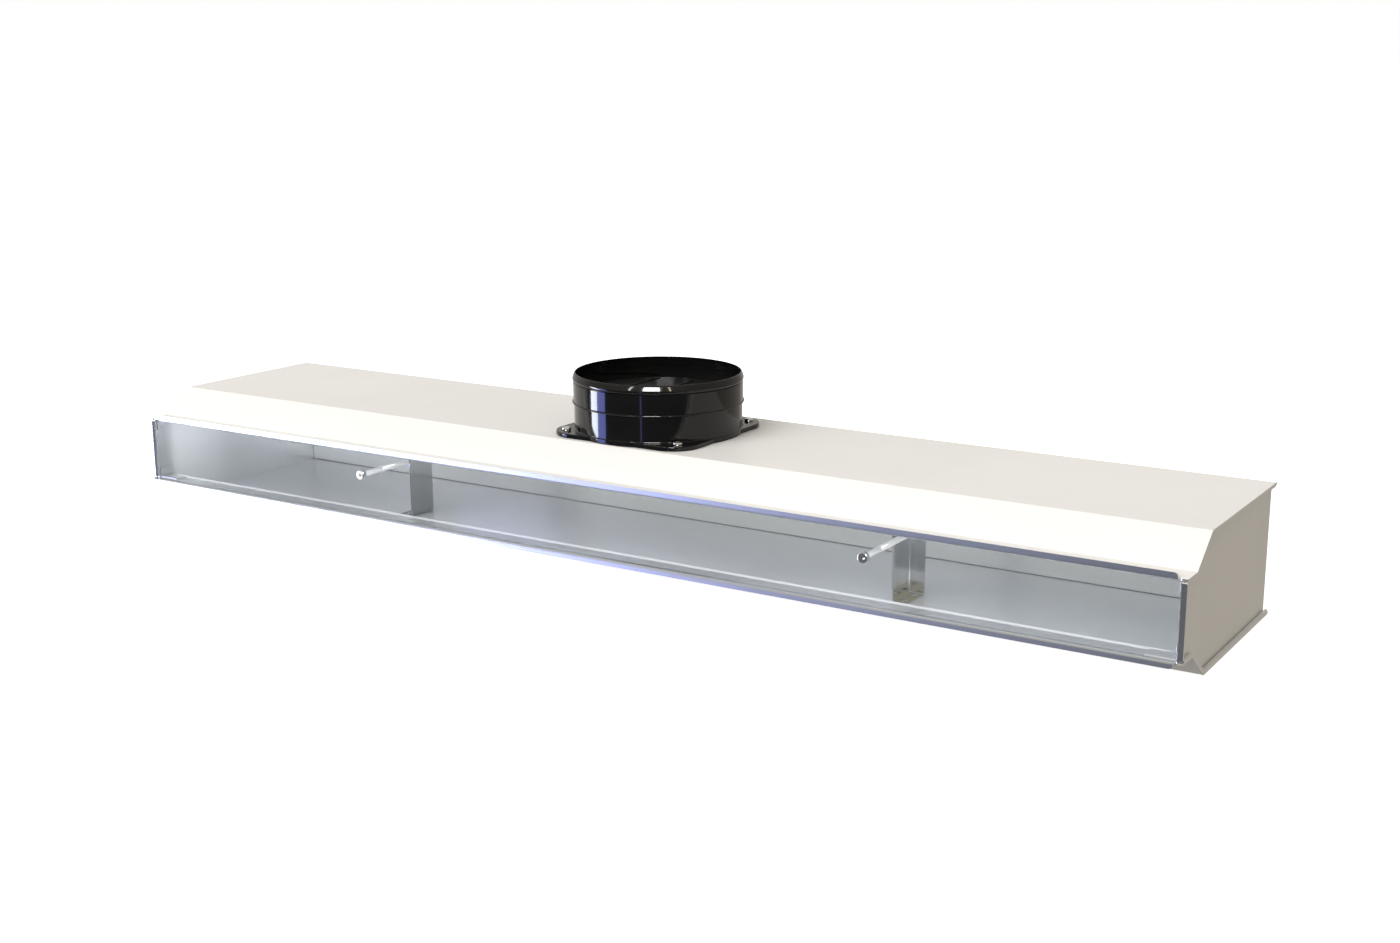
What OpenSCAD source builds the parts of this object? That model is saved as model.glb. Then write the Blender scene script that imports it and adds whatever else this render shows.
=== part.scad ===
// Plenum box of an island hood: a folded sheet box with a long slot in its nose,
// a round duct collar with a butterfly damper on top, and two long clamp screws inside.
// X runs along the box, Y from the slotted front to the back, Z up.
// The origin is under the middle of the box, on the plane that it stands on.

/* [Sheet body] */
// Length over the two ends
body_l = 1030; // [860:10:1400]
// Height from the underside to the top face
body_h = 106.9; // [98:0.1:140]
// Sheet thickness of the body panels
sheet_t = 2; // [1.2:0.1:2.2]
// Radius inside each bend
bend_r = 0.3; // [0.2:0.1:1]

/* [Nose and slot] */
// Clear height of the slot between the lips
slot_h = 57.8; // [46:0.1:62]
// Depth of the flat lips above and below the slot
lip_d = 21.4; // [20:0.1:26]
// Depth at which the slopes meet the flat top and bottom
shoulder_d = 51.9; // [46:0.1:52.5]
// Height of the front flanges, from the inside of the lip
flange_h = 5.8; // [4.5:0.1:8]
// Length by which a front flange stops short of the end
flange_setback = 7; // [6:0.5:15]
// Radius of the free corners of the front flanges
flange_corner_r = 3; // [1:0.1:3.4]
// Gap between an end flange and the lips
flange_gap = 1.2; // [0.8:0.1:3]

/* [Seams] */
// Depth of the end panels behind the ends of the top and bottom panels
end_recess = 3.4; // [2.4:0.1:5]
// Height of the top panel's lip over each end
top_end_lip_h = 3.2; // [2.8:0.1:6]
// Height of the bottom panel's lip up each end
bottom_end_lip_h = 4.2; // [3.4:0.1:8]
// Height of the laps behind the back panel
rear_lap_h = 12; // [8:0.5:18]
// Gap between the rear laps of two panels
lap_gap = 1; // [0.5:0.1:2]
// Thickness of the corner gussets
gusset_t = 1; // [0.8:0.1:1.5]
// Length of a gusset along the lip
gusset_l = 23; // [15:0.5:40]
// Length of a gusset down the end
gusset_h = 10; // [6:0.5:20]

/* [Screw brackets] */
// Distance from the middle of the box to each bracket wall
bracket_x = 252.8; // [180:0.1:340]
// Depth of the bracket's rear face behind the front of the box
bracket_rear_d = 114; // [112:0.5:140]
// Depth of the bracket from its front edge to its rear face
bracket_d = 31.5; // [28:0.5:44]
// Width of a bracket's web and feet
bracket_w = 15; // [14:0.5:30]
// Sheet thickness of the brackets
bracket_t = 1.2; // [1:0.1:1.5]
// Radius of a bracket rivet's shank
rivet_r = 1.6; // [1.2:0.1:2]
// Radius of a bracket rivet's head
rivet_head_r = 2.6; // [2.4:0.1:3]

/* [Clamp screws] */
// Height of the clamp screws over the underside
screw_z = 55; // [44:0.5:62]
// Distance from the bracket wall to the clamp screw's axis
screw_inset = 5.3; // [5.2:0.1:9]
// Radius of the clamp screw's shank
screw_r = 2.5; // [1.5:0.1:2.6]
// Length of the clamp screw under its head
screw_l = 100; // [80:1:110]
// Distance from the screw's tip to the rear end of its nut
screw_tip_gap = 0.6; // [0:0.1:4]
// Radius of the screw head
screw_head_r = 4.9; // [4:0.1:6]
// Height of the screw head
screw_head_h = 3.7; // [2.5:0.1:5]
// Radius of the rivet nut's barrel
nut_r = 3.4; // [3.2:0.1:3.5]
// Length of the rivet nut behind its flange
nut_l = 11.5; // [6:0.5:14]

/* [Duct collar] */
// Radius of the outside of the collar
collar_r = 74.6; // [60:0.1:80]
// Wall of the collar
collar_wall = 2.1; // [1.6:0.1:3]
// Height of the rim over the top panel
collar_h = 53; // [48:0.5:90]
// Distance from the shoulder to the collar flange
collar_front_gap = 3.9; // [3:0.1:60]
// Distance from the collar flange to the back of the box
collar_rear_gap = 18.7; // [16:0.1:100]
// Height of the raised bead over the top panel
bead_z = 27.2; // [22:0.1:30]
// Height of the band under the rim
band_h = 7.6; // [5:0.1:12]
// Distance by which the collar's wall steps in below the bead
base_step = 0.6; // [0.2:0.1:0.8]
// Distance by which the collar overhangs the straight sides of its flange
flange_undercut = 3.1; // [2:0.1:4.5]
// Corner radius of the collar flange
collar_flange_r = 25; // [18:0.5:27]
// Thickness of the collar flange
collar_flange_t = 3; // [2:0.1:5]
// Thickness of the gasket under the collar flange
gasket_t = 1; // [0.5:0.1:2]

/* [Damper] */
// Depth of the damper's axis under the rim
damper_depth = 19.5; // [16:0.5:22]
// Thickness of a damper flap
flap_t = 1; // [0.8:0.1:1.4]
// Radius of the damper spindle
spindle_r = 1.25; // [1:0.05:1.5]
// Wall of a hinge barrel on a flap
barrel_wall = 1.1; // [0.9:0.05:1.4]

/* [Hidden] */
$fn = 96;
// Steps in each drawn bend
bend_steps = 3;
// Overrun of the cuts
over = 1;
// Clearance of a shaft or screw in its hole, on the radius
running_gap = 0.05;
// Gap between a moving flap and what it closes on
seat_gap = 0.3;

// Paint, bare steel, zinc, black plastic and black foam
paint = [0.93, 0.92, 0.89];
steel = [0.66, 0.68, 0.71];
zinc = [0.80, 0.80, 0.80];
black_plastic = [0.04, 0.04, 0.045];
foam = [0.12, 0.12, 0.12];

// The box is as deep as its nose, the collar flange and the gaps before and behind it
collar_flange_w = collar_r - flange_undercut;
collar_d = shoulder_d + collar_front_gap + collar_flange_w;
body_d = collar_d + collar_flange_w + collar_rear_gap;
half_l = body_l / 2;
end_outer = half_l - end_recess;
end_inner = end_outer - sheet_t;
mid_z = body_h / 2;
lip_inner_z = mid_z + slot_h / 2;
lip_outer_z = lip_inner_z + sheet_t;
bend_out = bend_r + sheet_t;
inner_top_z = body_h - sheet_t;
back_inner_d = body_d - 2 * sheet_t;

// Direction of a vector, with the length one
function unit(v) = v / norm(v);
// Left-hand normal of the leg from a to b
function normal(a, b) = let (d = unit(b - a)) [-d.y, d.x];
// The path moved to its left by t, mitred at its corners
function shifted(path, t) = [
    for (i = [0:len(path) - 1])
        let (
            before = i == 0 ? normal(path[0], path[1]) : normal(path[i - 1], path[i]),
            after = i == len(path) - 1 ? before : normal(path[i], path[i + 1])
        )
        path[i] + t * (before + after) / (1 + before * after)
];
// One where the path a, b, c turns left at b, minus one where it turns right
function turn(a, b, c) = sign(cross(b - a, c - b));
// Points of the arc of radius r that eases the corner b between a and c
function eased_corner(a, b, c, r) = r <= 0 ? [b] : let (
        u = unit(a - b),
        w = unit(c - b),
        half = acos(u * w) / 2,
        centre = b + unit(u + w) * r / sin(half),
        start = b + u * r / tan(half) - centre,
        sweep = turn(a, b, c) * (180 - 2 * half)
    ) [
        for (k = [0:bend_steps])
            let (g = sweep * k / bend_steps)
            centre + [start.x * cos(g) - start.y * sin(g), start.x * sin(g) + start.y * cos(g)]
    ];
// The path with its left turns eased to left_r and its right turns to right_r
function eased(path, left_r, right_r) = [
    path[0],
    for (i = [1:len(path) - 2])
        each eased_corner(path[i - 1], path[i], path[i + 1],
            turn(path[i - 1], path[i], path[i + 1]) > 0 ? left_r : right_r),
    path[len(path) - 1],
];
function reversed(path) = [for (i = [len(path) - 1:-1:0]) path[i]];
// Outline of a folded strip of thickness t, to the left of the path, bent to radius r inside.
// outside_r is the radius of the path's own left turns.
function folded(path, t, r, outside_r) = concat(
    eased(path, outside_r, r),
    reversed(eased(shifted(path, t), outside_r - t, r + t))
);

// Stands a Y-Z outline up and runs it along X over the length l, centred
module along_x(l) {
    translate([-l / 2, 0, 0]) rotate([90, 0, 90]) linear_extrude(l) children();
}
// Stands an X-Z outline up and runs it back along Y from y, over the depth d
module along_y(y, d) {
    translate([0, y + d, 0]) rotate([90, 0, 0]) linear_extrude(d) children();
}
// Moves a piece drawn with its front at zero into the part's frame
module placed() {
    translate([0, -body_d / 2, 0]) children();
}
// Repeats a piece at both ends of the box
module both_ends() {
    for (side = [0, 1]) mirror([side, 0, 0]) children();
}

// Outside face of the upper half, from the rear edge to the front edge
lid_path = [
    [body_d, body_h],
    [shoulder_d, body_h],
    [lip_d, lip_outer_z],
    [sheet_t, lip_outer_z],
];
// The same with its rear lap and its front flange
lid_fold_path = concat(
    [[body_d, body_h - rear_lap_h]], lid_path, [[sheet_t, lip_inner_z + flange_h]]
);
// Inside face of the upper half, cut off at the end panel's front bend
lid_inner_path = eased(
    shifted([lid_path[0], lid_path[1], lid_path[2], [bend_out, lip_outer_z]], sheet_t),
    bend_r, bend_out
);

// Rounds off the corner at the origin whose sides run along -X and -Y
module corner_waste(r) {
    difference() {
        translate([-r, -r]) square(r + over);
        translate([-r, -r]) circle(r);
    }
}

// Upper half of the shell: flat, slope, lip, front flange, rear lap and end lips
module folded_half(flat_lip_h) {
    flange_end = half_l - flange_setback;
    lap_end = end_outer - rear_lap_h - lap_gap;
    slope_lip_h = top_end_lip_h;
    difference() {
        union() {
            along_x(body_l) polygon(folded(lid_fold_path, sheet_t, bend_r, bend_out));
            both_ends() translate([half_l - sheet_t / 2, 0, 0]) {
                along_x(sheet_t) polygon(folded(
                    [[body_d - bend_out, body_h], lid_path[1], lid_path[2], [bend_out, lip_outer_z]],
                    slope_lip_h, bend_r, bend_out));
                along_x(sheet_t) translate([shoulder_d, body_h - flat_lip_h])
                    square([body_d - bend_out - shoulder_d, flat_lip_h]);
            }
        }
        both_ends() {
            // The front flange stops short of the end, with its free corner rounded
            translate([flange_end, -over, lip_outer_z])
                cube([flange_setback + over, bend_out + over, flange_h + over]);
            along_y(-over, bend_out + over)
                translate([flange_end, lip_inner_z + flange_h]) corner_waste(flange_corner_r);
            // Relief notch between the flange and the end
            translate([flange_end + flange_corner_r / 2, 0, lip_inner_z - over])
                cylinder(r = flange_corner_r / 2, h = sheet_t + 2 * over);
            // The rear lap stops short of the end panel's lap
            translate([lap_end, body_d - bend_out, body_h - rear_lap_h - over])
                cube([half_l - lap_end + over, bend_out + over, rear_lap_h - sheet_t + over]);
        }
    }
}

module top_panel() {
    color(paint) placed() difference() {
        folded_half(top_end_lip_h);
        translate([0, collar_d, inner_top_z - over]) {
            cylinder(r = panel_hole_r, h = sheet_t + 2 * over);
            at_collar_screws() cylinder(r = collar_hole_r, h = sheet_t + 2 * over);
        }
    }
}

module bottom_panel() {
    color(paint) placed() difference() {
        translate([0, 0, body_h]) mirror([0, 0, 1]) folded_half(bottom_end_lip_h);
        at_bracket_rivets() translate([0, 0, -over])
            cylinder(r = rivet_r + running_gap, h = sheet_t + 2 * over);
    }
}

module back_panel() {
    color(steel) placed()
        translate([-(end_inner - bend_r), back_inner_d, sheet_t + bend_r])
            cube([2 * (end_inner - bend_r), sheet_t, body_h - 2 * (sheet_t + bend_r)]);
}

// End outline, with the front flange held clear of the lips
module end_outline() {
    flange_z = lip_inner_z - flange_gap;
    upper = concat(lid_inner_path, [[bend_out, flange_z], [0, flange_z]]);
    polygon(concat(upper, reversed([for (p = upper) [p.x, body_h - p.y]])));
}

// End panel, folded out at the front and in behind the back panel
module end_panel() {
    path = [
        [half_l, sheet_t], [end_outer, sheet_t],
        [end_outer, body_d], [end_outer - rear_lap_h, body_d],
    ];
    intersection() {
        linear_extrude(body_h) polygon(folded(path, sheet_t, bend_r, bend_out));
        translate([half_l - rear_lap_h, 0, 0]) along_x(4 * rear_lap_h) end_outline();
    }
}

module end_panel_left() {
    color(paint) placed() mirror([1, 0, 0]) end_panel();
}

module end_panel_right() {
    color(paint) placed() end_panel();
}

// Angle pieces that tie the lips to the end panels at the four nose corners
module corner_gussets() {
    gusset_d = lip_d - 2 * sheet_t - bend_out;
    path = [
        [end_inner, lip_inner_z - gusset_h], [end_inner, lip_inner_z],
        [end_inner - gusset_l, lip_inner_z],
    ];
    color(steel) placed() both_ends() for (low = [0, 1])
        translate([0, 0, low * body_h]) mirror([0, 0, low])
            along_y(bend_out + sheet_t, gusset_d)
                polygon(folded(path, gusset_t, bend_r, bend_r + gusset_t));
}

screw_x = bracket_x + screw_inset;
foot_bend = bracket_t + bend_r;
bracket_front_d = bracket_rear_d - bracket_d;
web_d = bracket_rear_d - bracket_t;
screw_head_d = web_d + nut_l - screw_tip_gap - screw_l - screw_head_h;
foot_d = web_d - bend_r - bracket_front_d;
rivet_inset = foot_d / 5;

// Places of the two rivets in each foot, on the underside
module at_bracket_rivets() {
    foot_mid = bracket_x + (bracket_w + foot_bend) / 2;
    both_ends() for (y = [bracket_front_d + rivet_inset, bracket_front_d + foot_d - rivet_inset])
        translate([foot_mid, y, 0]) children();
}

// Bracket with a wall, a web that carries the nut, and a foot on the bottom and top panels
module screw_bracket() {
    plan = [
        [bracket_x + bracket_w, bracket_rear_d], [bracket_x, bracket_rear_d],
        [bracket_x, bracket_front_d],
    ];
    foot = [
        [bracket_x, mid_z], [bracket_x, sheet_t], [bracket_x + bracket_w, sheet_t],
    ];
    difference() {
        union() {
            translate([0, 0, sheet_t + foot_bend])
                linear_extrude(body_h - 2 * (sheet_t + foot_bend))
                    polygon(folded(plan, bracket_t, bend_r, foot_bend));
            for (high = [0, 1]) translate([0, 0, high * body_h]) mirror([0, 0, high])
                along_y(bracket_front_d, foot_d)
                    polygon(folded(foot, bracket_t, bend_r, foot_bend));
        }
        translate([screw_x, web_d - over, screw_z]) rotate([-90, 0, 0])
            cylinder(r = nut_r + running_gap, h = bracket_t + 2 * over);
        at_bracket_rivets() translate([0, 0, sheet_t - over])
            cylinder(r = rivet_r + running_gap, h = bracket_t + 2 * over);
    }
}

module screw_bracket_left() {
    color(steel) placed() mirror([1, 0, 0]) screw_bracket();
}

module screw_bracket_right() {
    color(steel) placed() screw_bracket();
}

// Domed rivets, flush with the underside of the box
module bracket_rivets() {
    head_h = rivet_r * 0.7;
    color(zinc) placed() at_bracket_rivets() rotate_extrude() polygon([
        [0, 0], [rivet_r, 0], [rivet_r, sheet_t + bracket_t], [rivet_head_r, sheet_t + bracket_t],
        [rivet_head_r * 0.8, sheet_t + bracket_t + head_h * 0.7],
        [rivet_head_r * 0.4, sheet_t + bracket_t + head_h], [0, sheet_t + bracket_t + head_h],
    ]);
}

// Rivet nut set in the web, with its flange to the front and its bulge behind
module rivet_nut() {
    rim_r = nut_r * 1.14;
    rim_t = bracket_t / 2;
    bulge_l = bracket_t * 2;
    bore_r = screw_r + running_gap;
    translate([screw_x, web_d, screw_z]) rotate([-90, 0, 0]) rotate_extrude() polygon([
        [bore_r, -rim_t], [rim_r, -rim_t], [rim_r, 0], [nut_r, 0],
        [nut_r, bracket_t], [rim_r, bracket_t + bulge_l / 2], [nut_r, bracket_t + bulge_l],
        [nut_r, nut_l], [bore_r, nut_l],
    ]);
}

module rivet_nut_left() {
    color(zinc) placed() mirror([1, 0, 0]) rivet_nut();
}

module rivet_nut_right() {
    color(zinc) placed() rivet_nut();
}

// Long pan-head screw with a cross recess, its axis from the head to the back
module clamp_screw() {
    recess_w = screw_head_r / 4;
    recess_l = screw_head_r * 0.95;
    tip_l = screw_r * 0.6;
    color(zinc) translate([screw_x, screw_head_d, screw_z]) rotate([-90, 0, 0]) difference() {
        rotate_extrude() polygon([
            [0, 0], [screw_head_r * 0.5, screw_head_h * 0.08], [screw_head_r * 0.85, screw_head_h * 0.3],
            [screw_head_r, screw_head_h * 0.65], [screw_head_r, screw_head_h],
            [screw_r, screw_head_h], [screw_r, screw_head_h + screw_l - tip_l],
            [screw_r * 0.6, screw_head_h + screw_l], [0, screw_head_h + screw_l],
        ]);
        for (g = [0, 90]) rotate(g) translate([-recess_l / 2, -recess_w / 2, -over])
            cube([recess_l, recess_w, screw_head_h * 0.6 + over]);
    }
}

module clamp_screw_left() {
    placed() mirror([1, 0, 0]) clamp_screw();
}

module clamp_screw_right() {
    placed() clamp_screw();
}

collar_inner_r = collar_r - collar_wall;
collar_base_r = collar_r - base_step;
panel_hole_r = collar_inner_r - collar_wall / 2;
collar_screw_r = 2;
collar_screw_l = 10;
collar_head_r = 4;
collar_head_h = 2.6;
collar_hole_r = collar_screw_r + 2 * running_gap;
// Gap between the collar's wall and the heads of its screws
collar_head_gap = 3.4;
collar_screw_d = (collar_r + collar_head_gap + collar_head_r) / sqrt(2);
nut_side = 12;
nut_t = 2.4;
flange_top_z = gasket_t + collar_flange_t;

module at_collar_screws() {
    for (g = [0:90:270]) rotate(g) translate([collar_screw_d, collar_screw_d, 0]) children();
}

// Sets a piece drawn round the collar's axis, on the top face, in its place
module on_collar() {
    placed() translate([0, collar_d, body_h]) children();
}

// Square flange outline, shrunk by the inset
module flange_outline(inset) {
    reach = collar_flange_w - collar_flange_r;
    corner_r = collar_flange_r - inset;
    for (g = [0:90:270]) rotate(g) translate([reach, reach]) circle(corner_r);
    for (g = [0, 90]) rotate(g)
        translate([-reach, -(reach + corner_r)]) square(2 * [reach, reach + corner_r]);
}

axis_z = collar_h - damper_depth;
barrel_r = spindle_r + barrel_wall;
boss_l = collar_wall * 3;
flap_start = barrel_r + 2 * seat_gap;
flap_r = collar_inner_r - 3 * seat_gap;
seal_t = 1;
ledge_w = collar_wall * 1.2;
ledge_t = collar_wall * 0.7;
ledge_top = axis_z - flap_t / 2 - seat_gap - seal_t;
barrel_end = collar_inner_r - boss_l - seat_gap;

// Collar wall with its base fillet, bead, grooved band, rounded rim and inner ledge
module collar_wall_turned() {
    bead_r = collar_wall * 0.5;
    bead_w = collar_wall * 0.8;
    groove_d = collar_wall * 0.25;
    groove_w = collar_wall * 0.4;
    band_z = collar_h - band_h;
    rim_r = collar_r - collar_wall * 0.4;
    rotate_extrude($fn = 180) polygon([
        [collar_inner_r, gasket_t], [collar_base_r, gasket_t],
        [collar_base_r, bead_z - bead_w / 2],
        [collar_r + bead_r * 0.8, bead_z - bead_w / 4], [collar_r + bead_r, bead_z],
        [collar_r + bead_r * 0.8, bead_z + bead_w / 4], [collar_r, bead_z + bead_w / 2],
        [collar_r, band_z - groove_w / 2], [collar_r - groove_d, band_z],
        [collar_r, band_z + groove_w / 2],
        [collar_r, collar_h - collar_wall], [rim_r, collar_h - collar_wall * 0.25],
        [rim_r - collar_wall * 0.3, collar_h], [collar_inner_r, collar_h],
        [collar_inner_r, ledge_top], [collar_inner_r - ledge_w, ledge_top],
        [collar_inner_r - ledge_w, ledge_top - ledge_t],
        [collar_inner_r, ledge_top - ledge_t - ledge_w],
    ]);
}

// Base fillet that runs round the collar on top of its flange
module collar_base_fillet() {
    fillet_r = collar_wall * 0.4;
    rotate_extrude($fn = 180) polygon([
        [collar_base_r - over, flange_top_z - over], [collar_base_r + fillet_r, flange_top_z - over],
        [collar_base_r + fillet_r, flange_top_z], [collar_base_r, flange_top_z + fillet_r],
        [collar_base_r - over, flange_top_z + fillet_r],
    ]);
}

module duct_collar() {
    blind_end = collar_r - collar_wall / 2;
    color(black_plastic) on_collar() difference() {
        union() {
            collar_wall_turned();
            difference() {
                union() {
                    translate([0, 0, gasket_t]) linear_extrude(collar_flange_t)
                        flange_outline(0);
                    collar_base_fillet();
                }
                translate([0, 0, gasket_t - over])
                    cylinder(r = (collar_inner_r + collar_base_r) / 2, h = flange_top_z + over,
                        $fn = 180);
            }
            // Bosses that carry the spindle
            both_ends() translate([collar_inner_r - boss_l, 0, axis_z]) rotate([0, 90, 0])
                cylinder(r = barrel_r, h = boss_l + collar_wall / 2);
        }
        translate([-blind_end, 0, axis_z]) rotate([0, 90, 0])
            cylinder(r = spindle_r + running_gap, h = 2 * blind_end);
        at_collar_screws() translate([0, 0, gasket_t - over])
            cylinder(r = collar_hole_r, h = collar_flange_t + 2 * over);
    }
}

module collar_gasket() {
    inset = collar_wall / 2;
    color(foam) on_collar() difference() {
        linear_extrude(gasket_t) union() {
            flange_outline(inset);
            circle(collar_r - inset / 2, $fn = 180);
        }
        translate([0, 0, -over]) {
            cylinder(r = collar_inner_r, h = gasket_t + 2 * over, $fn = 180);
            at_collar_screws() cylinder(r = collar_hole_r, h = gasket_t + 2 * over);
        }
    }
}

// Pan-head screws in the four ears of the collar flange
module collar_screws() {
    color(zinc) on_collar() at_collar_screws() translate([0, 0, flange_top_z]) difference() {
        rotate_extrude($fn = 48) polygon([
            [0, -collar_screw_l], [collar_screw_r * 0.7, -collar_screw_l],
            [collar_screw_r, -collar_screw_l * 0.9], [collar_screw_r, 0], [collar_head_r, 0],
            [collar_head_r, collar_head_h * 0.35], [collar_head_r * 0.8, collar_head_h * 0.75],
            [collar_head_r * 0.4, collar_head_h], [0, collar_head_h],
        ]);
        for (g = [0, 90]) rotate(g)
            translate([-collar_head_r / 2, -collar_head_r / 8, collar_head_h * 0.4])
                cube([collar_head_r, collar_head_r / 4, collar_head_h]);
    }
}

// Square nuts under the top panel
module collar_nuts() {
    color(zinc) on_collar() at_collar_screws() translate([0, 0, -sheet_t - nut_t]) difference() {
        translate([-nut_side / 2, -nut_side / 2, 0]) cube([nut_side, nut_side, nut_t]);
        translate([0, 0, -over]) cylinder(r = collar_screw_r + running_gap, h = nut_t + 2 * over);
    }
}

module damper_spindle() {
    reach = collar_r - collar_wall / 2 - running_gap;
    color(zinc) on_collar() translate([-reach, 0, axis_z]) rotate([0, 90, 0])
        cylinder(r = spindle_r, h = 2 * reach);
}

// Soft seal on the ledge, in two halves that leave the bosses free
module damper_seat_seal() {
    seal_outer_r = collar_inner_r - running_gap;
    color(foam) on_collar() translate([0, 0, ledge_top]) difference() {
        cylinder(r = seal_outer_r, h = seal_t, $fn = 180);
        translate([0, 0, -over])
            cylinder(r = collar_inner_r - ledge_w + running_gap, h = seal_t + 2 * over, $fn = 180);
        translate([-collar_r, -flap_start, -over])
            cube([2 * collar_r, 2 * flap_start, seal_t + 2 * over]);
    }
}

// Half-round flap about the axis at the origin, reaching along +Y, with two of the four barrels
module flap(first) {
    span = 2 * barrel_end / 4;
    barrel_l = span - seat_gap;
    rib_w = 1.4 * flap_t;
    rib_h = 1.1 * flap_t;
    rib_start = flap_r / 6;
    rib_l = flap_r * 0.62;
    starts = [for (k = [first, first + 2]) -barrel_end + k * span + seat_gap / 2];
    difference() {
        union() {
            difference() {
                translate([0, 0, -flap_t / 2]) cylinder(r = flap_r, h = flap_t, $fn = 180);
                translate([-collar_r, -collar_r, -flap_t])
                    cube([2 * collar_r, collar_r + flap_start, 2 * flap_t]);
            }
            for (x = starts) translate([x, 0, 0]) {
                rotate([0, 90, 0]) cylinder(r = barrel_r, h = barrel_l);
                translate([0, 0, -flap_t / 2]) cube([barrel_l, flap_start + over, flap_t]);
            }
            for (share = [-0.5, 0, 0.5]) translate([share * flap_r - rib_w / 2, rib_start, 0])
                cube([rib_w, rib_l, flap_t / 2 + rib_h]);
        }
        translate([-collar_r, 0, 0]) rotate([0, 90, 0])
            cylinder(r = spindle_r + running_gap, h = 2 * collar_r);
    }
}

module damper_flap_rear() {
    color(black_plastic) on_collar() translate([0, 0, axis_z]) flap(0);
}

module damper_flap_front() {
    color(black_plastic) on_collar() translate([0, 0, axis_z]) mirror([0, 1, 0]) flap(1);
}

top_panel();
bottom_panel();
back_panel();
end_panel_left();
end_panel_right();
corner_gussets();
screw_bracket_left();
screw_bracket_right();
bracket_rivets();
rivet_nut_left();
rivet_nut_right();
clamp_screw_left();
clamp_screw_right();
duct_collar();
collar_gasket();
collar_screws();
collar_nuts();
damper_spindle();
damper_seat_seal();
damper_flap_front();
damper_flap_rear();
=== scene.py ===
import math

import bmesh
import bpy
from mathutils import Matrix, Vector


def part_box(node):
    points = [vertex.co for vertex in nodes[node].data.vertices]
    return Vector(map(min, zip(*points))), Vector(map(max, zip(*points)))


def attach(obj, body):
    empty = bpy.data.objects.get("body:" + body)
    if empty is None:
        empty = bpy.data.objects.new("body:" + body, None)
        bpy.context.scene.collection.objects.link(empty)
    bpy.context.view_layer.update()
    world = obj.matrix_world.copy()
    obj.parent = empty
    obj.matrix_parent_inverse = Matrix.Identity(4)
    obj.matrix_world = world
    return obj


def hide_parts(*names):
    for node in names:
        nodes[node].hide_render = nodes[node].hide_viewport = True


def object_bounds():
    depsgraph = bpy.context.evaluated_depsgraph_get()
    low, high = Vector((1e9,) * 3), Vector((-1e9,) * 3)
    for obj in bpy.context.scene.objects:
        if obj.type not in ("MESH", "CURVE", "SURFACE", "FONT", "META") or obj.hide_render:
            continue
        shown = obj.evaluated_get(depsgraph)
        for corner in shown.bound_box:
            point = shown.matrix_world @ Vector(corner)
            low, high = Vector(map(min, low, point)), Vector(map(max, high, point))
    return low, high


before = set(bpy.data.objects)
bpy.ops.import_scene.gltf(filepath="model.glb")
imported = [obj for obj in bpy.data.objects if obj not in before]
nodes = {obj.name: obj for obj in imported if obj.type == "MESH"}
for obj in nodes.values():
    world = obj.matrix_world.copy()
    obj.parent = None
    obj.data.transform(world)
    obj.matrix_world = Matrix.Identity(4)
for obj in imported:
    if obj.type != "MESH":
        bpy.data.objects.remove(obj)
cad_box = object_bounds()


# ---------------------------------------------------------------- top panel
# The lid of the box: one steel sheet, folded down at the nose into a slope, a lip and an upturned
# flange, and lapped over the back. The outside is powder coated off-white and the inside is left
# bare, so the flange shows bare steel to the front.

class Wire:
    """One socket of a shader. Sums, differences and products of wires add their Math nodes."""

    def __init__(self, tree, socket=None):
        self.tree = tree
        self.socket = socket

    def node(self, kind, settings=None, inputs=None, out=0):
        """Adds a node: its settings first, then the values or wires of its sockets."""
        made = self.tree.nodes.new(kind)
        for name, value in (settings or {}).items():
            setattr(made, name, value)
        for name, value in (inputs or {}).items():
            if isinstance(value, Wire):
                self.tree.links.new(value.socket, made.inputs[name])
            else:
                made.inputs[name].default_value = value
        return Wire(self.tree, made.outputs[out])

    def maths(self, operation, *values):
        return self.node("ShaderNodeMath", {"operation": operation}, dict(enumerate(values)))

    def __add__(self, other):
        return self.maths("ADD", self, other)

    def __mul__(self, other):
        return self.maths("MULTIPLY", self, other)

    __radd__ = __add__
    __rmul__ = __mul__

    def between(self, low, high):
        """0 below low, 1 above high, and smooth from one to the other."""
        return self.node("ShaderNodeMapRange", {"interpolation_type": "SMOOTHSTEP"},
                         {"Value": self, "From Min": low, "From Max": high})

    def blend(self, first, second):
        """The first colour where this is 0, the second where it is 1."""
        return self.node("ShaderNodeMix", {"data_type": "RGBA"}, {0: self, 6: first, 7: second}, 2)


def new_material(name, **constants):
    """A Principled material, its surface wires and a function that links its varying sockets."""
    material = bpy.data.materials.new(name)
    material.use_nodes = True
    tree = material.node_tree
    shader = tree.nodes["Principled BSDF"]
    for socket, value in constants.items():
        shader.inputs[socket.replace("_", " ")].default_value = value

    def link(**wires):
        for socket, wire in wires.items():
            tree.links.new(wire.socket, shader.inputs[socket.replace("_", " ")])

    place = Wire(tree).node("ShaderNodeTexCoord", out=3)
    return material, place, link


def noise(place, scale, stretch=(1, 1, 1), detail=2.0):
    """Noise from 0 to 1, with features about 1/scale metres across, drawn out by the stretch."""
    drawn = place.node("ShaderNodeMapping", {}, {"Vector": place, "Scale": stretch})
    return place.node("ShaderNodeTexNoise", {}, {"Vector": drawn, "Scale": scale, "Detail": detail})


def bump(height, distance, strength=1.0):
    return height.node("ShaderNodeBump", {}, {"Height": height, "Distance": distance,
                                              "Strength": strength})


def shaded(colour, shade):
    """The colour made darker or lighter by the factor, as the four values of a socket."""
    return tuple(shade * part for part in colour) + (1,)


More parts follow.
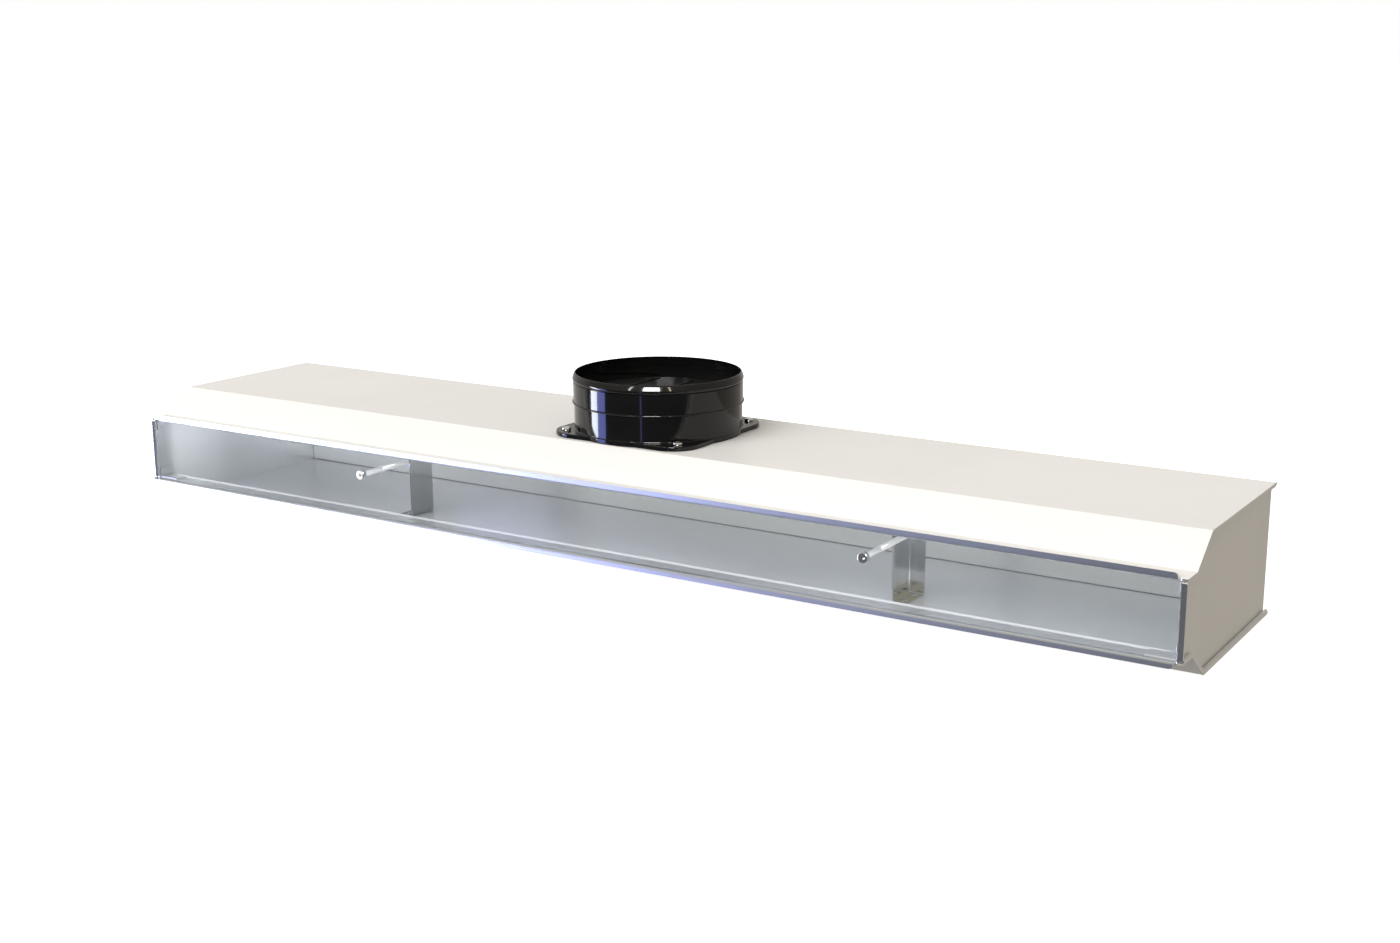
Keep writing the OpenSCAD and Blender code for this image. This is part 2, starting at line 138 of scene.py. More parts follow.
# Satin powder coat: a fine orange peel over a faint, slow change of tone
powder_coat, place, link = new_material("powder_coat", Specular_IOR_Level=0.42)
tone = noise(place, 5.0, detail=3)
peel = noise(place, 520.0)
speck = noise(place, 2400.0, detail=1)
link(Base_Color=tone.between(0.35, 0.65).blend((0.835, 0.815, 0.785, 1),
                                               (0.865, 0.845, 0.815, 1)),
     Roughness=0.36 + 0.10 * peel + 0.04 * tone,
     Normal=bump(peel + 0.35 * speck, 0.00005, 0.35))


def rolled_steel(name, metallic, dull, pale):
    """Bare rolled sheet: fine lines along it, and soft clouds where the oil dried."""
    material, place, link = new_material(name, Metallic=metallic)
    rolling = noise(place, 60.0, (0.12, 14, 14), detail=4)
    cloud = noise(place, 7.0, (0.6, 1.6, 1.6), detail=3)
    link(Base_Color=cloud.between(0.3, 0.7).blend(shaded(pale, 0.96), shaded(pale, 1.02)),
         Roughness=dull + 0.04 * rolling + 0.04 * cloud,
         Normal=bump(rolling, 0.00001, 0.06))
    return material


# The inside of the box is satin; the flange fronts are rubbed brighter
inner_steel = rolled_steel("inner_steel", 0.62, 0.17, (0.77, 0.79, 0.81))
flange_steel = rolled_steel("flange_steel", 1.0, 0.24, (0.73, 0.75, 0.775))
sheet_materials = [powder_coat, inner_steel, flange_steel]

SHARP = math.radians(50)
FLAT = math.radians(0.4)


def cad_copy(node, edge):
    """A merged copy of a node's mesh, with flat faces rejoined and its cut edges eased."""
    shape = bmesh.new()
    shape.from_mesh(nodes[node].data)
    bmesh.ops.remove_doubles(shape, verts=shape.verts, dist=1e-6)
    bmesh.ops.dissolve_limit(shape, angle_limit=FLAT, verts=shape.verts, edges=shape.edges,
                             delimit={"NORMAL"})
    cut = [e for e in shape.edges if e.is_manifold and e.calc_face_angle() > SHARP]
    bmesh.ops.bevel(shape, geom=cut, offset=edge, offset_type="OFFSET", segments=2, profile=0.5,
                    affect="EDGES", clamp_overlap=True, material=-1)
    return shape


def piece(name, shape, materials, body, replaced):
    """Makes the object of a finished shape, shades it smooth between its creases and fixes it."""
    mesh = bpy.data.meshes.new(name)
    shape.to_mesh(mesh)
    shape.free()
    for material in materials:
        mesh.materials.append(material)
    mesh.polygons.foreach_set("use_smooth", [True] * len(mesh.polygons))
    mesh.set_sharp_from_angle(angle=SHARP)
    made = bpy.data.objects.new(name, mesh)
    bpy.context.scene.collection.objects.link(made)
    flats = made.modifiers.new("flats", "WEIGHTED_NORMAL")
    flats.keep_sharp = True
    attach(made, body)
    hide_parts(*replaced)
    return made


SHEET = 0.002
FRONT_DEPTH = 0.006
front_y = cad_box[0][1]
half_length = cad_box[1][0]


def leave_bare(shape, is_bare):
    """The faces that is_bare picks are inner steel, and flange steel if close to the front."""
    for face in shape.faces:
        face.normal_update()
        middle = face.calc_center_median()
        bare = is_bare(face.normal, middle)
        face.material_index = int(bare) + int(bare and middle.y < front_y + FRONT_DEPTH)


def bare_half(up):
    """Bare faces of a folded half: those that face into the box, and the front of the flange."""
    def is_bare(normal, middle):
        inner_lip = abs(middle.x) < half_length - SHEET * 0.6 and normal.x * middle.x < -0.2
        return normal.z * up < -0.05 or (normal.y < -0.9 and abs(middle.y) > 0.1) or inner_lip
    return is_bare


LID_EDGE = 0.0002
lid = cad_copy("top_panel", LID_EDGE)
leave_bare(lid, bare_half(1))
lid_piece = piece("top_panel_sheet", lid, sheet_materials, "plenum",
                  ["top_panel"])


# ---------------------------------------------------------------- bottom panel
# The lid's mirror image, from the same sheet and folded on the same lines, with a taller lip at
# each end. It carries the feet of the two screw brackets.

TRAY_EDGE = 0.0002
tray = cad_copy("bottom_panel", TRAY_EDGE)
leave_bare(tray, bare_half(-1))
tray_piece = piece("bottom_panel_sheet", tray, sheet_materials, "plenum",
                   ["bottom_panel"])


# ---------------------------------------------------------------- end panels
# Two closing sheets, set a little in from the ends of the lid and tray. Each is folded outwards at
# the front into a narrow flange, again with its bare side to the front, and in behind the back.

END_EDGE = 0.0004


def bare_end(side):
    """Bare faces of an end panel: those that face into the box, and the front of its flange."""
    def is_bare(normal, middle):
        return normal.x * side < -0.05 or normal.y < -0.9
    return is_bare


end_pieces = []
for node, side in (("end_panel_left", -1), ("end_panel_right", 1)):
    end = cad_copy(node, END_EDGE)
    leave_bare(end, bare_end(side))
    end_pieces.append(piece(node + "_sheet", end, sheet_materials, "plenum",
                            [node]))


# ---------------------------------------------------------------- back panel
# A flat sheet held inside the laps of the other four panels, bare inside and coated outside.

BACK_EDGE = 0.0006
back = cad_copy("back_panel", BACK_EDGE)
leave_bare(back, lambda normal, middle: normal.y < -0.5)
back_piece = piece("back_panel_sheet", back, sheet_materials, "plenum",
                   ["back_panel"])


# ---------------------------------------------------------------- corner gussets
# Four thin bent tabs that tie the lips to the end panels at the corners of the nose.

GUSSET_EDGE = 0.00012
piece("corner_gusset_tabs", cad_copy("corner_gussets", GUSSET_EDGE), [inner_steel], "plenum",
      ["corner_gussets"])


# ---------------------------------------------------------------- screw brackets
# Bent strips of bright cold-rolled steel, with a wall, a web that takes the nut, and a foot on
# the tray and the lid. They are smooth enough to mirror the inside of the box. The left one's
# colour is darkened, a painted shade, because its wall is the darker one in the photo.

BRACKET_EDGE = 0.00012
# painted_shade darkens the left bracket's steel colour: painted shade on a copy of the same steel
for node, painted_shade in (("screw_bracket_left", 0.64), ("screw_bracket_right", 1.0)):
    bright_steel, place, link = new_material(node + "_steel", Metallic=1.0)
    rolled = noise(place, 60.0, (1.2, 14, 0.12), detail=3)
    link(Base_Color=rolled.between(0.3, 0.7).blend(shaded((0.70, 0.705, 0.70), painted_shade),
                                                   shaded((0.76, 0.765, 0.765), painted_shade)),
         Roughness=0.10 + 0.05 * rolled,
         Normal=bump(rolled, 0.00001, 0.1))
    piece(node + "_strip", cad_copy(node, BRACKET_EDGE), [bright_steel], "plenum",
          [node])


# ---------------------------------------------------------------- bracket rivets
# Solid domed rivets, zinc plated, through the lower feet and flush under the tray.

zinc_plate, place, link = new_material("zinc_plate", Metallic=1.0)
spangle = noise(place, 900.0, detail=3)
wear = noise(place, 140.0, detail=2)
link(Base_Color=wear.between(0.35, 0.7).blend((0.80, 0.80, 0.79, 1), (0.88, 0.885, 0.89, 1)),
     Roughness=0.10 + 0.10 * spangle,
     Normal=bump(spangle, 0.00001, 0.25))


def turned(points, centre, axis, steps, shape=None):
    """Turns (radius, height) points round the axis through the centre into a closed solid."""
    shape = shape or bmesh.new()
    towards = Vector(axis)
    out = towards.orthogonal().normalized()
    start = [shape.verts.new(Vector(centre) + out * r + towards * h) for r, h in points]
    line = [shape.edges.new(pair) for pair in zip(start, start[1:])]
    bmesh.ops.spin(shape, geom=start + line, cent=centre, axis=axis, angle=2 * math.pi,
                   steps=steps, use_merge=True)
    bmesh.ops.remove_doubles(shape, verts=shape.verts, dist=1e-7)
    bmesh.ops.recalc_face_normals(shape, faces=shape.faces)
    return shape


RIVET_SHANK, RIVET_HEAD = 0.0016, 0.0026
low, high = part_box("bracket_rivets")
seat_z = high.z - 0.7 * RIVET_SHANK
dome = [(RIVET_HEAD * math.cos(a), (high.z - seat_z) * math.sin(a) + seat_z)
        for a in [math.radians(d) for d in range(0, 91, 15)]]
rivets = bmesh.new()
for x in (low.x + RIVET_HEAD, high.x - RIVET_HEAD):
    for y in (low.y + RIVET_HEAD, high.y - RIVET_HEAD):
        turned([(0, low.z), (RIVET_SHANK, low.z), (RIVET_SHANK, seat_z), *dome[:-1], (0, high.z)],
               (x, y, 0), (0, 0, 1), 32, rivets)
piece("bracket_rivet_set", rivets, [zinc_plate], "plenum", ["bracket_rivets"])


# ---------------------------------------------------------------- rivet nuts
# Steel rivet nuts pulled up in the bracket webs: a thin flange in front, a bulge behind the web
# and a plain barrel that holds the thread.

NUT_BORE, NUT_FLANGE, WEB, NUT_EASE = 0.00255, 0.0006, 0.0012, 0.0003
BARREL_TO_RIM = 1.14
for node in ("rivet_nut_left", "rivet_nut_right"):
    low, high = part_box(node)
    middle = (low + high) / 2
    length = high.y - low.y
    rim = (high.x - low.x) / 2
    barrel = rim / BARREL_TO_RIM
    bulge = [(barrel + (rim - barrel) * math.sin(math.radians(d)),
              NUT_FLANGE + WEB + 2 * WEB * d / 180) for d in range(0, 181, 30)]
    outline = [(NUT_BORE, NUT_EASE), (NUT_BORE + NUT_EASE, 0), (rim - 0.0001, 0), (rim, 0.0001),
               (rim, NUT_FLANGE), (barrel, NUT_FLANGE), *bulge, (barrel, length - NUT_EASE),
               (barrel - NUT_EASE, length), (NUT_BORE, length), (NUT_BORE, NUT_EASE)]
    piece(node + "_turned", turned(outline, (middle.x, low.y, middle.z), (0, 1, 0), 48),
          [zinc_plate], "plenum", [node])


# ---------------------------------------------------------------- clamp screws
# M5 pan-head machine screws, 100 mm long, zinc plated, with a cross recess. They draw the hood or
# grille against the slot. The rear of each shank carries its thread.

CROSS_SPAN, CROSS_WIDTH, CROSS_DEPTH = 0.0052, 0.0013, 0.0022
CLAMP_HEAD, CLAMP_SHANK, CLAMP_PLAIN = 0.0037, 0.0025, 0.028
PITCH, ROOT, CREST, STEPS_PER_TURN = 0.0008, 0.82, 0.995, 16

# The shanks get a paler and duller copy of the heads' zinc: the paler colour is painted light that
# makes them look lit
painted_light_zinc, place, link = new_material("painted_light_zinc", Metallic=0.55)
bloom = noise(place, 700.0, detail=3)
streak = noise(place, 90.0, (3, 0.6, 3), detail=2)
link(Base_Color=streak.between(0.3, 0.7).blend((0.90, 0.905, 0.91, 1), (0.96, 0.96, 0.965, 1)),
     Roughness=0.18 + 0.12 * bloom,
     Normal=bump(bloom, 0.00001, 0.2))


def vertices(parts):
    """The vertices among the parts that a bmesh operator gives back."""
    return [part for part in parts if isinstance(part, bmesh.types.BMVert)]


def carved(shape, cutter, name):
    """The shape less the cutter."""
    solids = []
    for part in (shape, cutter):
        mesh = bpy.data.meshes.new(name)
        part.to_mesh(mesh)
        part.free()
        solids.append(bpy.data.objects.new(name, mesh))
        bpy.context.scene.collection.objects.link(solids[-1])
    cut = solids[0].modifiers.new("cut", "BOOLEAN")
    cut.operation, cut.solver, cut.object = "DIFFERENCE", "EXACT", solids[1]
    result = bmesh.new()
    result.from_object(solids[0], bpy.context.evaluated_depsgraph_get())
    for solid in solids:
        mesh = solid.data
        bpy.data.objects.remove(solid)
        bpy.data.meshes.remove(mesh)
    return result


def add_to(shape, other):
    """Puts the other shape's faces in with the first one's."""
    mesh = bpy.data.meshes.new("part")
    other.to_mesh(mesh)
    other.free()
    shape.from_mesh(mesh)
    bpy.data.meshes.remove(mesh)


def cross_cutter(across, width, depth):
    """A cross that opens on the plane z = 0 and narrows upwards, as a screwdriver's tip does."""
    cutter = bmesh.new()
    bmesh.ops.create_cube(cutter, size=width)
    for side in [f for f in cutter.faces if abs(f.normal.z) < 0.5]:
        away = side.normal * (across - width) / 2
        arm = bmesh.ops.extrude_discrete_faces(cutter, faces=[side])["faces"][0]
        bmesh.ops.translate(cutter, verts=arm.verts, vec=away)
    bmesh.ops.translate(cutter, verts=cutter.verts, vec=(0, 0, width / 2))
    bmesh.ops.scale(cutter, verts=cutter.verts, vec=(1, 1, 1.5 * depth / width))
    bmesh.ops.translate(cutter, verts=cutter.verts, vec=(0, 0, -depth / 2))
    bmesh.ops.scale(cutter, verts=[v for v in cutter.verts if v.co.z > 0], vec=(0.45, 0.45, 1))
    bmesh.ops.recalc_face_normals(cutter, faces=cutter.faces)
    return cutter


def pan_head(radius, height):
    """Points of a pan head, from the middle of its top to its underside, at heights over +Z."""
    crown = [(radius * share, height * 0.05 * share ** 2) for share in (0, 0.35, 0.6, 0.78)]
    side = [(radius * (0.80 + 0.20 * math.sin(math.radians(a))),
             height * (0.04 + 0.46 * (1 - math.cos(math.radians(a))))) for a in range(12, 91, 13)]
    return crown + side + [(radius, height - 0.0002), (radius - 0.0002, height)]


def thread(shank, start_z, end_z):
    """A closed ridge that winds round +Z: one turn of its outline, repeated along the shank."""
    ridge = bmesh.new()
    corners = [(shank * ROOT, 0.04), (shank * CREST, 0.42), (shank * CREST, 0.58),
               (shank * ROOT, 0.96)]
    start = [ridge.verts.new((r, 0, start_z + PITCH * (1 + share))) for r, share in corners]
    line = [ridge.edges.new(pair) for pair in zip(start, start[1:] + start[:1])]
    bmesh.ops.spin(ridge, geom=start + line, cent=(0, 0, 0), axis=(0, 0, 1),
                   dvec=(0, 0, PITCH / STEPS_PER_TURN), angle=2 * math.pi, steps=STEPS_PER_TURN)
    one_turn = ridge.verts[:] + ridge.edges[:] + ridge.faces[:]
    for turn in range(1, int((end_z - start_z) / PITCH) - 2):
        copied = bmesh.ops.duplicate(ridge, geom=one_turn)["geom"]
        bmesh.ops.translate(ridge, verts=vertices(copied), vec=(0, 0, PITCH * turn))
    bmesh.ops.remove_doubles(ridge, verts=ridge.verts, dist=1e-7)
    bmesh.ops.holes_fill(ridge, edges=[e for e in ridge.edges if e.is_boundary], sides=4)
    bmesh.ops.recalc_face_normals(ridge, faces=ridge.faces)
    return ridge


clamp_screws = []
for node in ("clamp_screw_left", "clamp_screw_right"):
    low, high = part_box(node)
    middle = (low + high) / 2
    radius = (high.x - low.x) / 2
    length = high.y - low.y
    core = CLAMP_SHANK * 0.84
    outline = pan_head(radius, CLAMP_HEAD) + [
        (CLAMP_SHANK + 0.0003, CLAMP_HEAD), (CLAMP_SHANK, CLAMP_HEAD + 0.0003),
        (CLAMP_SHANK, CLAMP_PLAIN), (core, CLAMP_PLAIN + PITCH), (core, length - 0.0012),
        (CLAMP_SHANK * 0.6, length), (0, length)]
    body = turned(outline, (0, 0, 0), (0, 0, 1), 48)
    body = carved(body, cross_cutter(CROSS_SPAN, CROSS_WIDTH, CROSS_DEPTH), node)
    add_to(body, thread(CLAMP_SHANK, CLAMP_PLAIN, length - 0.0016))
    bmesh.ops.rotate(body, verts=body.verts, matrix=Matrix.Rotation(math.radians(-90), 3, "X"))
    bmesh.ops.translate(body, verts=body.verts, vec=(middle.x, low.y, middle.z))
    # Faces behind the head take the paler zinc copy: painted light on the shank
    for face in body.faces:
        on_shank = face.calc_center_median().y > low.y + CLAMP_HEAD + 0.0004
        face.material_index = int(on_shank)
    clamp_screws.append(piece(node + "_turned", body, [zinc_plate, painted_light_zinc], node,
                              [node]))


# ---------------------------------------------------------------- duct collar
# Injection-moulded gloss black plastic: a round wall with a lead-in band at the rim, a stop bead
# half way down and a square flange with rounded ears under it. A ledge inside carries the damper.

gloss_black, place, link = new_material("gloss_black", Specular_IOR_Level=0.42)
flow = noise(place, 30.0, (1, 1, 2.2), detail=3)
grime = noise(place, 260.0, detail=2)
link(Base_Color=flow.between(0.3, 0.7).blend((0.003, 0.003, 0.0034, 1),
                                             (0.005, 0.0046, 0.0045, 1)),
     Roughness=0.045 + 0.04 * flow + 0.03 * grime,
     Normal=bump(flow + 0.2 * grime, 0.00004, 0.12))

WALL_R, BASE_R, BORE_R = 0.0746, 0.0740, 0.0725
BEAD_Z, BEAD_R, BEAD_RISE, BEAD_FOOT = 0.0262, 0.00105, 0.00084, 0.00095
GROOVE_Z, GROOVE_DEPTH, GROOVE_HALF = 0.0444, 0.0005, 0.00015
LEDGE_TOP, LEDGE_W, LEDGE_T, LIP_EASE = 0.0307, 0.00252, 0.00147, 0.0002
AXIS_Z, BOSS_R, BOSS_BORE, BOSS_LENGTH = 0.0325, 0.00235, 0.0013, 0.0070
FLANGE_T, FLANGE_W, EAR_R, FILLET_R = 0.003, 0.0715, 0.025, 0.0009
CLEAR_LOW, CLEAR_HIGH, SCREW_HOLE_R = -0.001, 0.004, 0.0021

low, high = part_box("duct_collar")
collar = Vector(((low.x + high.x) / 2, (low.y + high.y) / 2, low.z))
rim_z = high.z - low.z

bead = [(WALL_R + BEAD_R * math.sin(math.radians(a)),
         BEAD_Z - BEAD_RISE * math.cos(math.radians(a))) for a in range(15, 166, 15)]
rim_band = [(0.0746, 0.0450), (0.0750, 0.0456), (0.07515, 0.0466), (0.0751, 0.0472),
            (0.07495, 0.0478), (0.0745, 0.0493), (0.07395, 0.0507), (0.0735, 0.0515),
            (0.0730, 0.0520)]
fillet = [(BASE_R + FILLET_R - FILLET_R * math.sin(math.radians(a)),
           FLANGE_T + FILLET_R * (1 - math.cos(math.radians(a)))) for a in range(0, 91, 18)]
groove_r, ledge_r = WALL_R - GROOVE_DEPTH, BORE_R - LEDGE_W
wall_line = ([(BORE_R, 0), (BASE_R + FILLET_R, 0)] + fillet
             + [(BASE_R, BEAD_Z - BEAD_FOOT), (BASE_R + 0.0001, BEAD_Z - BEAD_RISE)] + bead
             + [(WALL_R, BEAD_Z + BEAD_FOOT), (WALL_R, GROOVE_Z - 0.0005),
                (groove_r, GROOVE_Z - GROOVE_HALF), (groove_r, GROOVE_Z + GROOVE_HALF)]
             + rim_band
             + [(BORE_R + LIP_EASE, rim_z), (BORE_R, rim_z - LIP_EASE),
                (BORE_R, LEDGE_TOP + 0.0003), (BORE_R - 0.0003, LEDGE_TOP),
                (ledge_r + LIP_EASE, LEDGE_TOP), (ledge_r, LEDGE_TOP - LIP_EASE),
                (ledge_r, LEDGE_TOP - LEDGE_T), (BORE_R, LEDGE_TOP - LEDGE_T - LEDGE_W),
                (BORE_R, 0)])
wall = turned(wall_line, (0, 0, 0), (0, 0, 1), 192)

# Bosses for the spindle on the inside of the wall
boss = [(BOSS_BORE, 0), (BOSS_R - 0.0003, 0), (BOSS_R, 0.0003), (BOSS_R, BOSS_LENGTH),
        (BOSS_BORE, BOSS_LENGTH), (BOSS_BORE, 0)]
for side in (-1, 1):
    turned(boss, (side * (BORE_R - 0.0063), 0, AXIS_Z), (side, 0, 0), 32, wall)

# The flange is a square plate with rounded corners, cleared inside the wall
plate = bmesh.new()
bmesh.ops.create_grid(plate, x_segments=1, y_segments=1, size=FLANGE_W)
bmesh.ops.bevel(plate, geom=plate.verts, offset=EAR_R, offset_type="OFFSET", segments=20,
                profile=0.5, affect="VERTICES", material=-1)
drawn = bmesh.ops.extrude_face_region(plate, geom=plate.faces[:])["geom"]
bmesh.ops.translate(plate, verts=vertices(drawn), vec=(0, 0, FLANGE_T))
bmesh.ops.recalc_face_normals(plate, faces=plate.faces)
top_edges = [e for e in plate.edges if all(v.co.z > FLANGE_T / 2 for v in e.verts)]
bmesh.ops.bevel(plate, geom=top_edges, offset=0.0007, offset_type="OFFSET", segments=3,
                profile=0.5, affect="EDGES", material=-1)


def plug(radius, centre, steps, shape=None):
    """An upright cylinder that reaches through the flange on both sides."""
    return turned([(0, CLEAR_LOW), (radius, CLEAR_LOW), (radius, CLEAR_HIGH), (0, CLEAR_HIGH)],
                  centre, (0, 0, 1), steps, shape)


clearing = plug(BASE_R - 0.0004, (0, 0, 0), 192)
screw_at = (WALL_R + 0.0034 + 0.004) / math.sqrt(2)
for x in (-screw_at, screw_at):
    for y in (-screw_at, screw_at):
        plug(SCREW_HOLE_R, (x, y, 0), 24, clearing)
add_to(wall, carved(plate, clearing, "ears"))
bmesh.ops.translate(wall, verts=wall.verts, vec=collar)
collar_piece = piece("duct_collar_moulding", wall, [gloss_black], "plenum",
                     ["duct_collar"])


# ---------------------------------------------------------------- collar gasket and damper seal
# Die-cut rings of closed-cell foam: one under the collar flange, one on the ledge inside, where
# the damper flaps come down on it.

cell_foam, place, link = new_material("cell_foam", Specular_IOR_Level=0.2)
cells = place.node("ShaderNodeTexVoronoi", {}, {"Vector": place, "Scale": 1500.0})
shade = noise(place, 90.0)
link(Base_Color=shade.blend((0.018, 0.018, 0.019, 1), (0.04, 0.04, 0.042, 1)),
     Roughness=0.85 + 0.1 * shade,
     Normal=bump(cells, 0.0001, 0.5))


def give(node, material):
    """Puts the material on a CAD node that is kept as it is."""
    nodes[node].data.materials.clear()
    nodes[node].data.materials.append(material)


give("collar_gasket", cell_foam)
give("damper_seat_seal", cell_foam)


# ---------------------------------------------------------------- collar screws and nuts
# Four zinc-plated pan-head screws in the ears of the flange, and the square nuts that they pull
# up under the lid. Each screw has come to rest at its own angle.

HEAD_R, HEAD_H, SHANK_R, TIP = 0.004, 0.0026, 0.002, 0.0008
NUT_EDGE = 0.00025
low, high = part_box("collar_screws")
length = high.z - low.z
screws = bmesh.new()
for x in (-screw_at, screw_at):
    for y in (-screw_at, screw_at):
        outline = pan_head(HEAD_R, HEAD_H) + [
            (SHANK_R, HEAD_H), (SHANK_R, length - TIP), (SHANK_R * 0.7, length), (0, length)]
        screw = carved(turned(outline, (0, 0, 0), (0, 0, 1), 40),
                       cross_cutter(0.0042, 0.0010, 0.0015), "collar_screw")
        angle = math.radians(900 * x + 2700 * y)
        bmesh.ops.rotate(screw, verts=screw.verts, matrix=Matrix.Rotation(math.pi, 3, "X"))
        bmesh.ops.rotate(screw, verts=screw.verts, matrix=Matrix.Rotation(angle, 3, "Z"))
        bmesh.ops.translate(screw, verts=screw.verts, vec=(collar.x + x, collar.y + y, high.z))
        add_to(screws, screw)
piece("collar_screw_set", screws, [zinc_plate], "plenum", ["collar_screws"])
piece("collar_nut_set", cad_copy("collar_nuts", NUT_EDGE), [zinc_plate], "plenum",
      ["collar_nuts"])


# ---------------------------------------------------------------- damper
# A butterfly damper: two half-round moulded flaps with stiffening ribs, hung on one zinc-plated
# spindle by interleaved barrels. They lie on the seal until the fan's air lifts them.

give("damper_spindle", zinc_plate)

satin_black, place, link = new_material("satin_black", Specular_IOR_Level=0.35)
grain = noise(place, 800.0, detail=2)
sweep = noise(place, 22.0, detail=2)
link(Base_Color=sweep.blend((0.004, 0.004, 0.0045, 1), (0.008, 0.008, 0.0085, 1)),
     Roughness=0.30 + 0.10 * grain + 0.06 * sweep,
     Normal=bump(grain, 0.00003, 0.25))

FLAP_EDGE = 0.00015
for node in ("damper_flap_front", "damper_flap_rear"):
    piece(node + "_moulding", cad_copy(node, FLAP_EDGE), [satin_black], node,
          [node])


# ---------------------------------------------------------------- studio
# A pale floor, a plain surround and one large soft key light above the front. Tall soft boxes are
# mirrored by the collar and the steel, most of them only by chosen pieces, and a soft strip
# behind the slot lights the inside.

camera_data = bpy.data.cameras.new("camera")
camera_data.sensor_width = 36.0
camera_data.lens = 45.63
camera = bpy.data.objects.new("camera", camera_data)
bpy.context.scene.collection.objects.link(camera)
eye = Vector((0.8549, -1.25335, 0.4368))
yaw, pitch, roll = -0.56806, 0.2358, -0.00436
ahead = Vector((math.sin(yaw) * math.cos(pitch), math.cos(yaw) * math.cos(pitch),
                -math.sin(pitch)))
level = Vector((math.cos(yaw), -math.sin(yaw), 0))
upright = level.cross(ahead)
across = level * math.cos(roll) + upright * math.sin(roll)
upright = upright * math.cos(roll) - level * math.sin(roll)
camera.matrix_world = Matrix(((across.x, upright.x, -ahead.x, eye.x),
                              (across.y, upright.y, -ahead.y, eye.y),
                              (across.z, upright.z, -ahead.z, eye.z),
                              (0, 0, 0, 1)))
bpy.context.scene.camera = camera
bpy.context.scene.view_settings.view_transform = "Standard"

floor_paint = bpy.data.materials.new("floor_paint")
floor_paint.use_nodes = True
matt = floor_paint.node_tree.nodes["Principled BSDF"]
matt.inputs["Base Color"].default_value = (0.9, 0.9, 0.9, 1)
matt.inputs["Roughness"].default_value = 0.9
matt.inputs["Emission Color"].default_value = (1, 1, 1, 1)
matt.inputs["Emission Strength"].default_value = 0.75
ground = bmesh.new()
bmesh.ops.create_grid(ground, x_segments=1, y_segments=1, size=40)
floor_mesh = bpy.data.meshes.new("floor")
ground.to_mesh(floor_mesh)
ground.free()
floor_mesh.materials.append(floor_paint)
floor = bpy.data.objects.new("floor", floor_mesh)
bpy.context.scene.collection.objects.link(floor)
floor.location.z = -0.0005
floor.visible_glossy = floor.visible_diffuse = floor.visible_shadow = False

# The surround, by bearing (degrees from the front, more to the left) and by height
world = bpy.data.worlds.new("surround")
bpy.context.scene.world = world
world.use_nodes = True
towards = Wire(world.node_tree).node("ShaderNodeTexCoord", out=0)
east, north, height = (towards.node("ShaderNodeSeparateXYZ", {}, {0: towards}, out=i)
                       for i in range(3))
bearing = towards.maths("ARCTAN2", east * -1, north * -1) * math.degrees(1)
front = height.between(-0.02, 0.06).blend((0.13, 0.135, 0.15, 1), (0.50, 0.48, 0.38, 1))
front = height.between(0.45, 0.75).blend(front, (0.62, 0.62, 0.62, 1))
left = bearing.between(74, 80).blend(front, (0.58, 0.56, 0.53, 1))
sides = (-1 * bearing).between(70, 76).blend(left, (0.47, 0.435, 0.385, 1))
is_camera = towards.node("ShaderNodeLightPath", out=0)
surround = is_camera.blend(sides, (1, 1, 1, 1))
background = world.node_tree.nodes["Background"]
world.node_tree.links.new(surround.socket, background.inputs["Color"])

CARD_DISTANCE = 20


def soft_light(name, width, height, glow):
    """A rectangular light whose face has the glow as its radiance, whatever its size."""
    data = bpy.data.lights.new(name, "AREA")
    data.shape = "RECTANGLE"
    data.size, data.size_y = width, height
    data.energy = 4 * data.size * data.size_y
    data.color = glow
    made = bpy.data.objects.new(name, data)
    bpy.context.scene.collection.objects.link(made)
    made.visible_camera = False
    return made


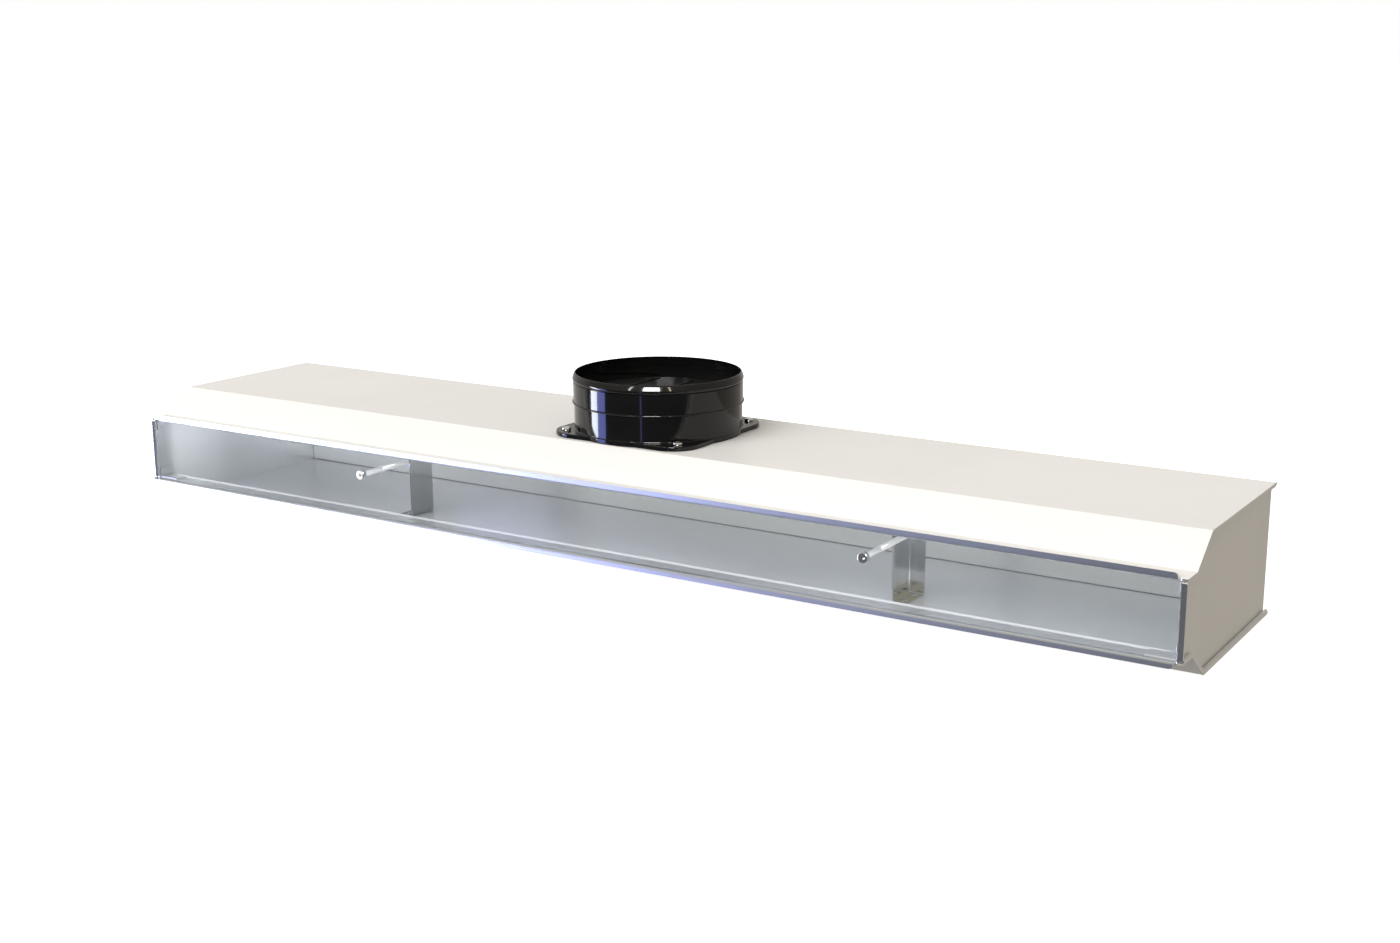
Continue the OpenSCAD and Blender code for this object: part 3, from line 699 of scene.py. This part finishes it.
def light_card(name, bearings, heights, glow, mirrored=True, lighting=True, only=()):
    """An upright soft box far off. Its edges are given as bearings and heights in degrees."""
    middle = math.radians(sum(bearings) / 2)
    low, high = (CARD_DISTANCE * math.tan(math.radians(h)) for h in heights)
    width = 2 * CARD_DISTANCE * math.tan(math.radians(bearings[1] - bearings[0]) / 2)
    card = soft_light(name, width, high - low, glow)
    away = Vector((-math.sin(middle), -math.cos(middle), 0))
    card.location = away * CARD_DISTANCE + Vector((0, 0, (low + high) / 2))
    card.rotation_euler = (-away).to_track_quat("-Z", "Y").to_euler()
    card.visible_glossy = mirrored
    card.visible_diffuse = lighting
    if only:
        lit = bpy.data.collections.new(name + "_lights")
        for lit_piece in only:
            lit.objects.link(lit_piece)
        card.light_linking.receiver_collection = lit


# The two cards on the left leave out the right end panel, whose bend would spread them too wide
left_end, right_end = end_pieces
but_right_end = [o for o in bpy.context.scene.objects if o.type == "MESH" and o is not right_end]
light_card("left_card", (56.6, 68.6), (-30, 1), (13, 13.8, 15.4), lighting=False,
           only=but_right_end)
light_card("blue_card", (42.5, 56.6), (-30, 1), (2.4, 2.6, 5.8), lighting=False,
           only=[o for o in but_right_end if o not in (collar_piece, *clamp_screws)])
light_card("collar_blue_card", (42.5, 56.6), (-30, 1), (1.7, 2.0, 5.6), lighting=False,
           only=(collar_piece,))
light_card("left_head_card", (38, 57), (-30, 1), (1.1, 1.08, 1.07), lighting=False,
           only=(clamp_screws[0],))
light_card("front_card", (-36, -12.6), (20, 44), (30, 30, 30), lighting=False,
           only=(collar_piece, *clamp_screws))
light_card("front_strip", (5, 6.5), (20, 44), (30, 30, 30), lighting=False,
           only=(collar_piece,))
light_card("side_strip", (-51, -49), (20, 44), (14, 13, 9), lighting=False,
           only=(collar_piece,))
light_card("thin_strip", (-11, -9.6), (-24, 12), (1.0, 0.9, 2.6), lighting=False)
light_card("corner_card", (-62, -45), (8, 24), (4.8, 4.9, 5.1), lighting=False,
           only=(lid_piece, tray_piece, back_piece, left_end, right_end))
light_card("key", (-10, 45), (14, 62), (3.38, 3.40, 3.46), mirrored=False)

# A soft strip held just behind the slot and facing in, for the inside of the box
slot_light = soft_light("slot_light", 1.0, 0.06, (2.5, 2.52, 2.56))
slot_light.location = (0, front_y + 0.016, 0.05345)
slot_light.rotation_euler = (math.radians(90), 0, 0)
slot_light.visible_glossy = False
